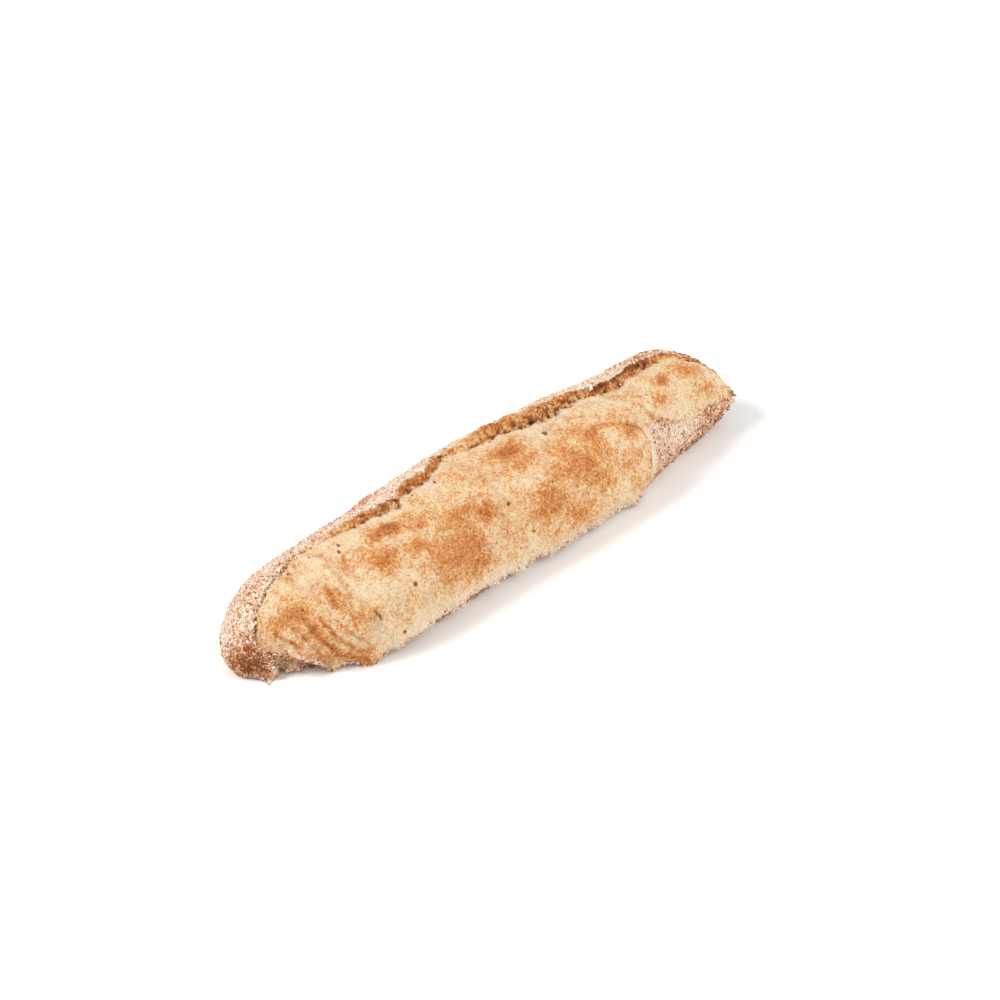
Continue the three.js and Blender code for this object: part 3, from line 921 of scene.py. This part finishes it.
def flakeMesh(centres, normals, radii, thickness, tilt, stretch):
    # each flake: a ring of uneven corners round two middles, lying on the skin with a small tilt
    count, sides = len(centres), flakeShape["sides"]
    up = unit(normals + chance.normal(0, tilt, (count, 3)))
    first = unit(np.cross(up, chance.normal(0, 1, (count, 3))))
    second = np.cross(up, first)
    jitter = chance.uniform(-flakeShape["jitter"], flakeShape["jitter"], (count, sides))
    angle = np.arange(sides) * 2 * np.pi / sides + jitter
    reach = radii[:, None] * chance.uniform(*flakeShape["reach"], (count, sides))
    curl = chance.uniform(*flakeShape["curl"], (count, sides)) * radii[:, None]
    ring = (
        centres[:, None, :]
        + (np.cos(angle) * reach * stretch[:, None])[..., None] * first[:, None, :]
        + (np.sin(angle) * reach)[..., None] * second[:, None, :]
        + curl[..., None] * up[:, None, :] * flakeShape["curlShare"]
    )
    top = centres + up * (thickness * flakeShape["top"])[:, None]
    bottom = centres - up * (thickness * flakeShape["bottom"])[:, None]
    corners = np.concatenate([ring, top[:, None], bottom[:, None]], axis=1)
    edge = np.arange(sides)
    following = (edge + 1) % sides
    upper = np.stack([edge, following, np.full(sides, sides)], axis=-1)
    lower = np.stack([following, edge, np.full(sides, sides + 1)], axis=-1)
    return corners.reshape(-1, 3), repeated(np.concatenate([upper, lower]), count, sides + 2)


def skinSamples(points, weight, count):
    # random grid cells, likelier where the cell is large and the weight is high, and a place inside each
    onward = points[1:] - points[:-1]
    around = np.roll(points, -1, axis=1) - points
    spread = np.linalg.norm(np.cross(onward, around[:-1]), axis=-1)
    odds = (spread * weight[:-1]).ravel()
    chosen = chance.choice(odds.size, count, p=odds / odds.sum())
    row, column = np.unravel_index(chosen, spread.shape)
    shareOnward, shareAround = chance.random((2, count, 1))
    place = points[row, column] + shareOnward * onward[row, column] + shareAround * around[row, column]
    return place, gridNormals(points)[row, column], row, column


def scatterFlakes(name, weight, look):
    # flakes on the skin: smaller and lighter on pale skin and on the lip, darker where toasted or low
    count = look["count"]
    place, normal, row, column = skinSamples(skin, weight, count)
    toast, pale, lip = (np.clip(skinMasks[key][row, column], 0, 1) for key in ("toast", "pale", "lip"))
    low, high = look["length"]
    radii = low + (high - low) * chance.random(count) ** look["mostlySmall"]
    radii = radii * look["radiusShare"] * (1 - look["smallerPale"] * pale)
    radii = radii * (1 - look["smallerLip"] * lip)
    thickness = look["thickness"] * chance.uniform(*look["thicknessSpread"], count)
    stretch = chance.uniform(*look["stretch"], count)
    corners, faces = flakeMesh(place, normal, radii, thickness, look["tilt"], stretch)
    corners[:, 2] = np.maximum(corners[:, 2], look["aboveFloor"])
    tone = np.clip(chance.normal(*look["tone"], count), 0, 1)
    tone = tone + look["toneToast"] * toast + look["tonePale"] * pale + look["toneLip"] * lip
    low = 1 - gate("lowFlakes", place[:, 2])
    tone = np.clip(tone + noise("flakeTone", place) + look["toneLow"] * low, 0, 1)
    dark = chance.random(count) < look["darkShare"] * (1 - lip)
    tone = np.where(dark, tone * look["darkTone"], tone)
    return putMesh(name, corners, faces, {"tone": np.repeat(tone, flakeShape["sides"] + 2)}, False)


def branWeight():
    # clumps on the bran skin, thin under flour and on pale skin; crumbs on the lip; a few strays elsewhere
    bran, flour, pale = (np.clip(skinMasks[key], 0, 1) for key in ("bran", "flour", "pale"))
    weight = bran * (1 - branCover["flourLost"] * flour) * (1 - branCover["paleLost"] * pale)
    weight = weight * (1 - skinMasks["thin"])
    weight = weight * atLeast(branCover["clumpLeast"], gate("branClumps", noise("branClumps", skin)))
    crumbs = atLeast(branCover["lipLeast"], gate("crumbClumps", noise("crumbClumps", skin)))
    stray = branCover["stray"] * (1 - gate("strayFree", skinMasks["torn"]))
    return weight + branCover["lip"] * skinMasks["lip"] * crumbs + stray


bare = branWeight()
behind = gate("behind", skin[..., 1])
high = gate("high", skin[..., 2])
branTop = scatterFlakes("branTop", bare * behind * high, branLook)
branBack = scatterFlakes("branBack", bare * behind * (1 - high), branLook)
branFront = scatterFlakes("branFront", bare * (1 - behind), branLook)
print("bran set")


# Shreds torn out along the lower lip; shapes are in shares of a shred's length.
fringeLook = {
    "shreds": 620,
    "length": (0.7, 2.7),
    "mostlyShort": 2.5,
    "sides": 5,
    "width": 0.35,
    "widthSpread": (0.7, 1.3),
    "flatness": 0.6,
    "halfway": 0.55,
    "halfwaySpread": 0.12,
    "halfwayWidth": 0.6,
    "tipSpread": 0.2,
    "rootDepth": 0.3,
    "outward": 0.9,
    "down": -0.55,
    "scatter": 0.55,
    "tone": (0.68, 0.17),
    "toneBlunt": -0.2,
    "lipWidth": 1.2,
    "density": [
        [-186, 0], [-176, 0.5], [-150, 1], [-122, 0.9], [-104, 0.35], [-60, 0.25],
        [-28, 0.6], [-12, 1], [8, 0.8], [30, 0.25], [60, 0.06], [96, 0],
    ],
}


def shredMesh(roots, directions, lengths, look):
    # each shred: a flat root ring drawn out to one bent tip, closed behind by a middle
    count, sides = len(roots), look["sides"]
    first = unit(np.cross(directions, chance.normal(0, 1, (count, 3))))
    second = np.cross(directions, first)
    angle = np.arange(sides) * 2 * np.pi / sides
    wide = (look["width"] * lengths)[:, None] * chance.uniform(*look["widthSpread"], (count, sides))
    across = (
        (np.cos(angle) * wide)[..., None] * first[:, None, :]
        + (np.sin(angle) * wide * look["flatness"])[..., None] * second[:, None, :]
    )
    length = lengths[:, None]
    half = directions * look["halfway"] + chance.normal(0, look["halfwaySpread"], (count, 3))
    tip = roots + (directions + chance.normal(0, look["tipSpread"], (count, 3))) * length
    back = roots - directions * look["rootDepth"] * length
    ring = roots[:, None, :] + across
    middle = (roots + half * length)[:, None, :] + across * look["halfwayWidth"]
    corners = np.concatenate([ring, middle, tip[:, None], back[:, None]], axis=1)
    edge = np.arange(sides)
    following = (edge + 1) % sides
    pattern = np.concatenate([
        np.stack([edge, following, following + sides], axis=-1),
        np.stack([edge, following + sides, edge + sides], axis=-1),
        np.stack([edge + sides, following + sides, np.full(sides, 2 * sides)], axis=-1),
        np.stack([following, edge, np.full(sides, 2 * sides + 1)], axis=-1),
    ])
    return corners.reshape(-1, 3), repeated(pattern, count, 2 * sides + 2)


def tornFringe(look):
    # shreds hang from the lower lip of the main face, most of them where the list is dense
    stations = look["density"]
    pastLip = (skinTurn - along(burst["lowerEdge"], skin[..., 0] - shift[0])) * loafShape["girth"]
    dense = along(stations, np.clip(skin[..., 0], stations[0][0], stations[-1][0]))
    weight = np.maximum(bell(pastLip, look["lipWidth"]) * dense, 0)
    weight = weight * gate("shredClumps", noise("shredClumps", skin))
    place, normal, row, column = skinSamples(skin, weight, look["shreds"])
    count = len(place)
    short, long = look["length"]
    lengths = short + (long - short) * chance.random(count) ** look["mostlyShort"]
    hanging = normal * look["outward"] + np.array([0, 0, look["down"]])
    hanging = unit(hanging + chance.normal(0, look["scatter"], (count, 3)))
    blunt = 1 - gate("bluntShreds", place[:, 0])
    tone = np.clip(chance.normal(*look["tone"], count) + look["toneBlunt"] * blunt, 0, 1)
    corners, faces = shredMesh(place, hanging, lengths, look)
    corners[:, 2] = np.maximum(corners[:, 2], branLook["aboveFloor"])
    return putMesh("tornFringe", corners, faces, {"tone": np.repeat(tone, 2 * look["sides"] + 2)}, False)


fringe = tornFringe(fringeLook)
print("fringe made")


def linear(red, green, blue):
    # a colour given as screen values, 0 to 255, made linear
    return tuple(((value / 255 + 0.055) / 1.055) ** 2.4 for value in (red, green, blue)) + (1.0,)


class Finish:
    # a short way to write a node material; fit and level read a value between two levels as a share or shift
    def __init__(self, name, roughness, gloss):
        self.material = bpy.data.materials.new(name)
        self.material.use_nodes = True
        self.nodes = self.material.node_tree.nodes
        self.links = self.material.node_tree.links
        self.shader = self.nodes["Principled BSDF"]
        self.place = self.add("ShaderNodeTexCoord").outputs["Object"]
        self.put(self.shader.inputs["Roughness"], roughness)
        self.put(self.shader.inputs["Specular IOR Level"], gloss)

    def add(self, kind, **settings):
        node = self.nodes.new(kind)
        for key, value in settings.items():
            setattr(node, key, value)
        return node

    def put(self, socket, value):
        if isinstance(value, bpy.types.NodeSocket):
            self.links.new(value, socket)
        else:
            socket.default_value = value

    def fill(self, node, values):
        for key, value in values.items():
            self.put(node.inputs[key], value)
        return node

    def mask(self, name):
        return self.add("ShaderNodeAttribute", attribute_name=name).outputs["Fac"]

    def noise(self, scale, detail, rough):
        values = {"Vector": self.place, "Scale": scale, "Detail": detail, "Roughness": rough}
        return self.fill(self.add("ShaderNodeTexNoise"), values).outputs["Fac"]

    def cells(self, scale):
        values = {"Vector": self.place, "Scale": scale}
        return self.fill(self.add("ShaderNodeTexVoronoi"), values).outputs["Distance"]

    def fit(self, value, low, high, newLow, newHigh):
        node = self.add("ShaderNodeMapRange", interpolation_type="SMOOTHSTEP")
        values = {"Value": value, "From Min": low, "From Max": high, "To Min": newLow, "To Max": newHigh}
        return self.fill(node, values).outputs["Result"]

    def sum(self, kind, first, *others):
        for other in others:
            first = self.fill(self.add("ShaderNodeMath", operation=kind), {0: first, 1: other}).outputs[0]
        return first

    def blend(self, share, first, second):
        node = self.add("ShaderNodeMix", data_type="RGBA")
        return self.fill(node, {"Factor": share, "A": first, "B": second}).outputs["Result"]

    def level(self, name, value):
        return self.fit(value, *levels[name])

    def shades(self, value, stops):
        node = self.fill(self.add("ShaderNodeValToRGB"), {"Fac": value})
        strip = node.color_ramp
        while len(strip.elements) < len(stops):
            strip.elements.new(0.5)
        for element, (place, colour) in zip(strip.elements, stops):
            element.position = place
            element.color = colour
        return node.outputs["Color"]

    def bump(self, height, strength, distance):
        values = {"Height": height, "Strength": strength, "Distance": distance}
        node = self.fill(self.add("ShaderNodeBump"), values)
        self.put(self.shader.inputs["Normal"], node.outputs["Normal"])


# Sizes of the finish's noises, [scale, detail, roughness], and of its cells.
grainSizes = {
    "broad": (28, 4, 0.6), "soft": (55, 3, 0.5), "patch": (95, 4, 0.65), "blotch": (270, 2, 0.5),
    "relief": (330, 4, 0.7), "fibre": (480, 5, 0.75), "grain": (640, 4, 0.7), "speck": (900, 2, 0.6),
    "fine": (1400, 2, 0.6),
}
cellSizes = {"pores": 330, "crumbs": 420, "freckles": 520, "granules": 560}

# How each grain shifts the bake of the face: levels read from it, then the shift at each level.
bakeShifts = {
    "broad": (0.3, 0.75, -0.06, 0.13), "soft": (0.25, 0.78, -0.07, 0.1), "patch": (0.25, 0.78, -0.11, 0.12),
    "grain": (0.3, 0.7, -0.16, 0.16), "fine": (0.3, 0.7, -0.12, 0.12), "blotch": (0.3, 0.7, -0.1, 0.1),
    "granules": (0.1, 0.7, 0.09, -0.08),
}

# The other levels, in the same way: from, to, and the share or shift at each.
levels = {
    "pores": (0.08, 0.26, 0.5, 0.0), "porePlaces": (0.42, 0.6, 0.0, 1.0),
    "freckles": (0.12, 0.42, 1.0, 0.0), "frecklePlaces": (0.15, 0.5, 0.0, 0.55),
    "dust": (0.5, 0.68, 0.0, 0.5), "dustPlaces": (0.2, 0.5, 1.0, 0.3),
    "branGrain": (0.3, 0.7, 0.0, 0.8), "branToast": (0.0, 1.0, 0.0, 0.5), "branBroad": (0.3, 0.7, -0.1, 0.2),
    "tornPatch": (0.3, 0.7, -0.08, 0.34), "tornFibre": (0.3, 0.7, -0.06, 0.76),
    "tornLift": (0.0, 1.3, -0.2, 0.22), "tornCrumbs": (0.05, 0.4, 0.22, -0.05),
    "flourSpeck": (0.32, 0.6, 0.25, 0.95), "burntGrain": (0.2, 0.6, 0.7, 1.0),
    "rust": (0.0, 0.45, 0.0, 0.85), "scorchAndShade": (0.35, 1.0, 0.0, 1.0),
    "bumpSpeck": (0.3, 0.7, 0.0, 0.35), "bumpGranules": (0.1, 0.7, 0.0, 0.3),
    "flakeGrain": (0.3, 0.7, -0.12, 0.12),
}

crustColours = {
    "flour": linear(246, 230, 213),
    "pale": linear(246, 222, 182),
    "cream": linear(242, 205, 157),
    "gold": linear(231, 161, 91),
    "toast": linear(192, 104, 44),
    "brown": linear(132, 72, 34),
    # rust and scorch also colour the painted shade in the pits, holes, rim line and lip edge
    "rust": linear(150, 84, 38),
    "scorchAndShade": linear(84, 40, 18),
    "branPale": linear(234, 204, 174),
    "branTan": linear(204, 146, 98),
}

# The shades that each kind of skin runs through, from its least baked to its most.
crustShades = {
    "face": {0.0: "pale", 0.19: "cream", 0.39: "gold", 0.76: "toast", 1.0: "brown"},
    "bran": {0.0: "flour", 0.35: "branPale", 0.75: "branTan", 1.0: "toast"},
    "torn": {0.0: "cream", 0.3: "gold", 0.62: "toast", 0.85: "brown", 1.0: "scorchAndShade"},
}

# How deep the bake starts, how far the masks shift it, and the surface itself.
crustCoat = {
    "roughness": 0.78, "gloss": 0.25, "bake": 0.18, "toastBake": 0.52, "paleBake": 0.14, "foldShadeAndMarkShare": 0.22,
    "branPale": 0.25, "bump": 1.0, "bumpHeight": 0.0016,
}


def shadeOf(finish, kind, value):
    # the colour at this depth of bake on that kind of skin
    return finish.shades(value, [(place, crustColours[name]) for place, name in crustShades[kind].items()])


def faceColour(finish, masks, grains):
    # the bake and its grains picked from the shades, then pores, freckles, painted shade in the folds with
    # the stretch marks' own brown, and dust
    toasted = finish.sum("MULTIPLY", masks["toast"], crustCoat["toastBake"])
    bake = finish.sum("SUBTRACT", toasted, finish.sum("MULTIPLY", masks["pale"], crustCoat["paleBake"]))
    shifts = [finish.fit(grains[name], *shift) for name, shift in bakeShifts.items()]
    bake = finish.sum("ADD", bake, crustCoat["bake"], *shifts)
    colour = shadeOf(finish, "face", bake)
    porePlaces = finish.level("porePlaces", grains["patch"])
    pores = finish.sum("MULTIPLY", finish.level("pores", grains["pores"]), porePlaces)
    colour = finish.blend(pores, colour, crustColours["toast"])
    frecklePlaces = finish.level("frecklePlaces", finish.sum("MULTIPLY", masks["toast"], grains["patch"]))
    freckles = finish.sum("MULTIPLY", finish.level("freckles", grains["freckles"]), frecklePlaces)
    colour = finish.blend(freckles, colour, crustColours["brown"])
    # painted shade in the folds, and the stretch marks' own brown
    folds = finish.sum("MULTIPLY", masks["foldShadeAndMarks"], crustCoat["foldShadeAndMarkShare"])
    colour = finish.blend(folds, colour, crustColours["toast"])
    dust = finish.sum("MULTIPLY", finish.level("dust", grains["speck"]), finish.level("dustPlaces", bake))
    return finish.blend(dust, colour, crustColours["flour"])


def branColour(finish, masks, grains):
    # pale flour over tan, with the bake showing through
    tone = finish.sum(
        "ADD", finish.level("branGrain", grains["grain"]), finish.level("branToast", masks["toast"]),
        finish.level("branBroad", grains["broad"]))
    tone = finish.sum("SUBTRACT", tone, finish.sum("MULTIPLY", masks["pale"], crustCoat["branPale"]))
    return shadeOf(finish, "bran", tone)


def tornColour(finish, masks, grains):
    # toasted crumb, from cream to near black in the holes, lighter low on the wall
    bake = finish.sum(
        "ADD", finish.level("tornPatch", grains["patch"]), finish.level("tornFibre", grains["fibre"]),
        finish.level("tornLift", masks["lift"]), finish.level("tornCrumbs", grains["crumbs"]))
    return shadeOf(finish, "torn", bake)


def crustFinish():
    # face, bran skin and torn wall side by side, then flour, and scorch with painted shade, over all of them
    finish = Finish("crustFinish", crustCoat["roughness"], crustCoat["gloss"])
    masks = {name: finish.mask(name) for name in skinMasks if name not in ("lip", "thin")}
    grains = {name: finish.noise(*size) for name, size in grainSizes.items()}
    grains.update({name: finish.cells(size) for name, size in cellSizes.items()})
    colour = finish.blend(masks["bran"], faceColour(finish, masks, grains), branColour(finish, masks, grains))
    colour = finish.blend(masks["torn"], colour, tornColour(finish, masks, grains))
    flour = finish.sum("MULTIPLY", masks["flour"], finish.level("flourSpeck", grains["speck"]))
    colour = finish.blend(flour, colour, crustColours["flour"])
    # scorch and painted shade: rust brown where weaker, near black where strongest
    burnt = finish.sum("MULTIPLY", masks["scorchAndShade"], finish.level("burntGrain", grains["grain"]))
    colour = finish.blend(finish.level("rust", burnt), colour, crustColours["rust"])
    colour = finish.blend(finish.level("scorchAndShade", burnt), colour, crustColours["scorchAndShade"])
    finish.put(finish.shader.inputs["Base Color"], colour)
    height = finish.sum(
        "ADD", grains["relief"], finish.level("bumpSpeck", grains["speck"]),
        finish.level("bumpGranules", grains["granules"]))
    finish.bump(height, crustCoat["bump"], crustCoat["bumpHeight"])
    return finish.material


flakeCoat = {
    "roughness": 0.9, "gloss": 0.15, "grain": (1500, 2, 0.6), "bump": 0.3, "bumpHeight": 0.0003,
    "shades": [
        (0.0, linear(112, 62, 34)), (0.25, linear(192, 122, 70)), (0.5, linear(226, 184, 148)),
        (0.75, linear(243, 216, 192)), (1.0, linear(251, 240, 228)),
    ],
}


def flakeFinish():
    # each flake's own tone with a fine grain, from dark bran to white flour
    finish = Finish("branFinish", flakeCoat["roughness"], flakeCoat["gloss"])
    grain = finish.noise(*flakeCoat["grain"])
    tone = finish.sum("ADD", finish.mask("tone"), finish.level("flakeGrain", grain))
    finish.put(finish.shader.inputs["Base Color"], finish.shades(tone, flakeCoat["shades"]))
    finish.bump(grain, flakeCoat["bump"], flakeCoat["bumpHeight"])
    return finish.material


loafCrust.data.materials.append(crustFinish())
flakePaint = flakeFinish()
for piece in (branTop, branBack, branFront, fringe):
    piece.data.materials.append(flakePaint)
for piece in (loafCrust, branTop, branBack, branFront, fringe):
    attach(piece, "root")
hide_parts("loaf")
print("finishes on")


# A wide floor just under the loaf, an even sky and two soft lamps; sizes in metres.
studio = {
    "floor": 8.0,
    "clearance": 0.0003,
    "floorRoughness": 0.9,
    "floorGloss": 0.5,
    "floorGrain": (6, 2, 0.5),
    "floorShades": [(0.0, (0.90, 0.90, 0.89, 1)), (1.0, (0.94, 0.94, 0.93, 1))],
    "sky": 0.63,
    "lamps": [
        {"name": "window", "place": (-1.3, 0.7, 1.7), "size": 0.8, "power": 32.0},
        {"name": "softFront", "place": (0.9, -1.5, 1.1), "size": 1.8, "power": 23.0},
    ],
}


def layFloor(settings):
    # one square, its sides twice the floor value
    half = settings["floor"]
    low = cadLow.z - settings["clearance"]
    mesh = bpy.data.meshes.new("floor")
    corners = [(-half, -half, low), (half, -half, low), (half, half, low), (-half, half, low)]
    mesh.from_pydata(corners, [], [(0, 1, 2, 3)])
    floor = bpy.data.objects.new("floor", mesh)
    bpy.context.collection.objects.link(floor)
    finish = Finish("floorFinish", settings["floorRoughness"], settings["floorGloss"])
    colour = finish.shades(finish.noise(*settings["floorGrain"]), settings["floorShades"])
    finish.put(finish.shader.inputs["Base Color"], colour)
    mesh.materials.append(finish.material)


def lightUp(settings):
    # an even white sky, and each lamp a disc aimed at the middle
    world = bpy.data.worlds.new("sky")
    world.use_nodes = True
    sky = world.node_tree.nodes["Background"]
    sky.inputs["Color"].default_value = (1.0, 1.0, 1.0, 1.0)
    sky.inputs["Strength"].default_value = settings["sky"]
    bpy.context.scene.world = world
    for lamp in settings["lamps"]:
        light = bpy.data.lights.new(lamp["name"], "AREA")
        light.shape = "DISK"
        light.size = lamp["size"]
        light.energy = lamp["power"]
        holder = bpy.data.objects.new(lamp["name"], light)
        bpy.context.collection.objects.link(holder)
        holder.location = lamp["place"]
        holder.rotation_euler = (-Vector(lamp["place"])).to_track_quat("-Z", "Y").to_euler()
    bpy.context.scene.view_settings.view_transform = "Standard"


layFloor(studio)
lightUp(studio)
print("studio set")
